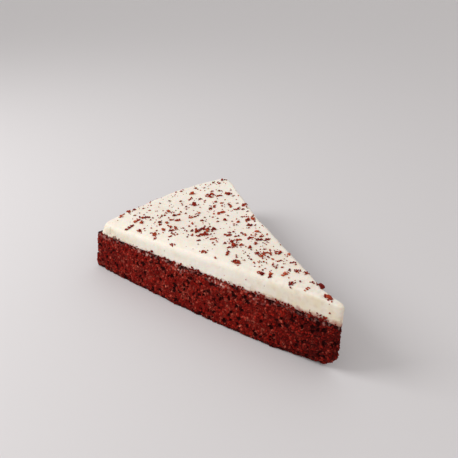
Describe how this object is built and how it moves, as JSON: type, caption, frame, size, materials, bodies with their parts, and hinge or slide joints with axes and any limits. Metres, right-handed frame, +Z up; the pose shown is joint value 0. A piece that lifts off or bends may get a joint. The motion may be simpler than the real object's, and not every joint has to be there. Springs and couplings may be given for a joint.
{
  "type": "red velvet cake slice",
  "caption": "Wedge-shaped slice of red sponge cake with a thick white frosting layer on top, strewn with red cake crumbs.",
  "frame": {"origin": "under the middle of the slice's bounding box, on the flat underside that it rests on", "axes": "+X along the slice towards its pointed tip, +Z up, +Y towards the cut side at the back"},
  "size_m": [0.1379, 0.0895, 0.0362],
  "materials": {
    "sponge": "torn open red cake crumb, dry and matt",
    "frosting": "spread cream cheese frosting, off-white and satin, with red crumbs strewn on it"
  },
  "bodies": {
    "root": {"sponge": "sponge", "frosting": "frosting"}
  },
  "joints": []
}
